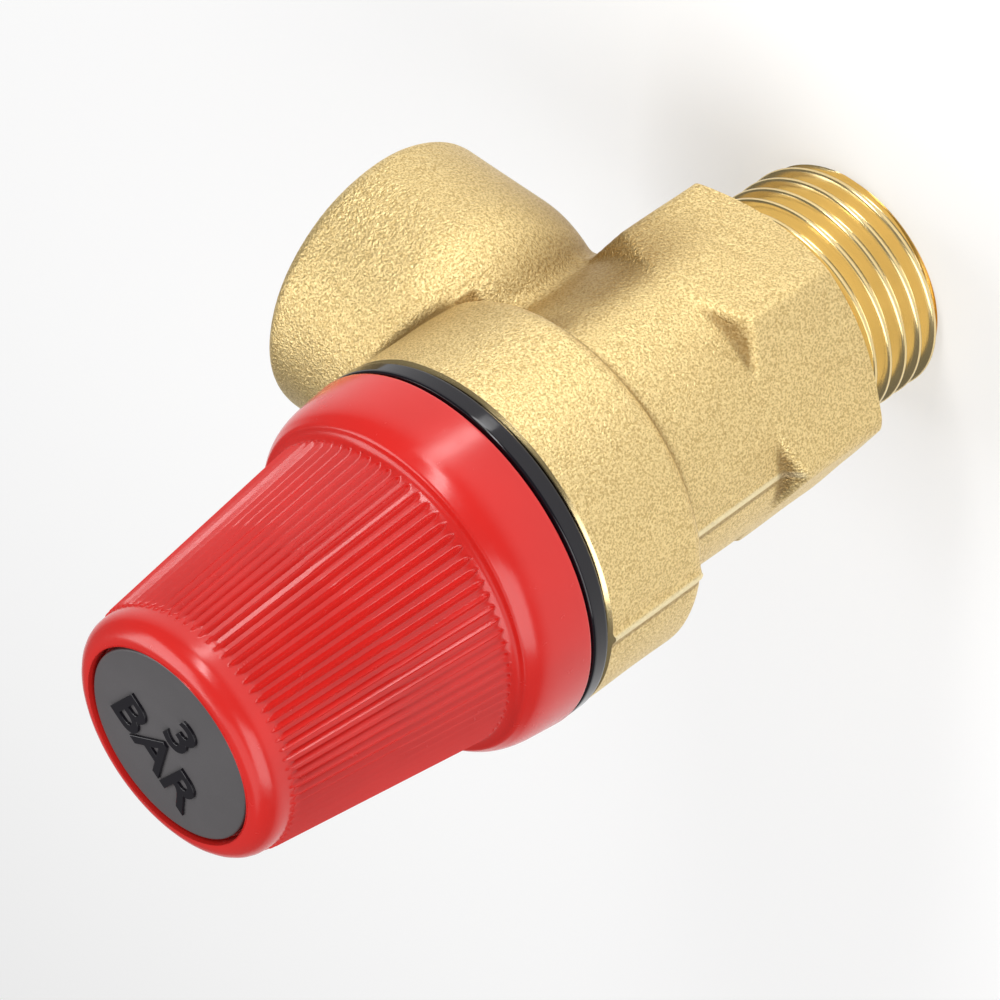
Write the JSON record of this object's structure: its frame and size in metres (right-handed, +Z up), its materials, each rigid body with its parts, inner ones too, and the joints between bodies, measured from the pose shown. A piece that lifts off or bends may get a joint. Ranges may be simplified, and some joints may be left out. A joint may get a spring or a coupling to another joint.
{
  "type": "pressure relief valve",
  "caption": "Angle-pattern diaphragm relief valve: brass body with a male inlet and female outlet, and a fluted red release knob.",
  "frame": {"origin": "centre of the inlet's end face, on the valve axis", "axes": "+Z up the valve axis from the inlet to the knob, +X out along the outlet, +Y by the right hand"},
  "size_m": [0.0429, 0.0322, 0.0772],
  "materials": {
    "forged_brass": "sand-blasted hot-forged brass, satin grain, with machined threads and faces",
    "turned_brass": "bright turned brass",
    "steel": "bright zinc-plated steel",
    "rubber": "matt black elastomer",
    "black_nylon": "glossy black moulded nylon",
    "white_acetal": "natural white acetal",
    "red_plastic": "satin-gloss red moulded plastic",
    "grey_plastic": "satin dark grey moulded plastic"
  },
  "bodies": {
    "body": {"valve_body": "forged_brass", "bonnet": "black_nylon", "slip_ring": "white_acetal", "diaphragm": "rubber", "spring": "steel", "spring_washer": "steel", "setting_nut": "turned_brass"},
    "lifter": {"thrust_washer": "steel"},
    "knob": {"knob": "red_plastic", "knob_insert": "grey_plastic"},
    "spindle": {"spindle": "turned_brass", "spindle_nut": "steel", "plate_nut": "steel", "spring_plate": "turned_brass", "diaphragm_washer": "steel", "seal_holder": "turned_brass", "seal_disc": "rubber", "seal_washer": "steel", "seal_screw": "steel"}
  },
  "joints": [
    {"name": "knob_lift", "type": "slide", "parent": "body", "child": "lifter", "axis": [0, 0, 1], "range_m": [0, 0.0015]},
    {"name": "knob_turn", "type": "hinge", "parent": "lifter", "child": "knob", "pos_m": [0, 0, 0.0697], "axis": [0, 0, 1], "range_deg": [0, 80]},
    {"name": "pressure_lift", "type": "slide", "parent": "lifter", "child": "spindle", "axis": [0, 0, 1], "range_m": [0, 0.0015], "stiffness_N_per_m": 8000, "springref_m": -0.005, "deforming": ["spring", "diaphragm"]}
  ],
  "couplings": [
    {"joint": "knob_turn", "follows": "knob_lift", "rad_per_m": 930.8}
  ]
}
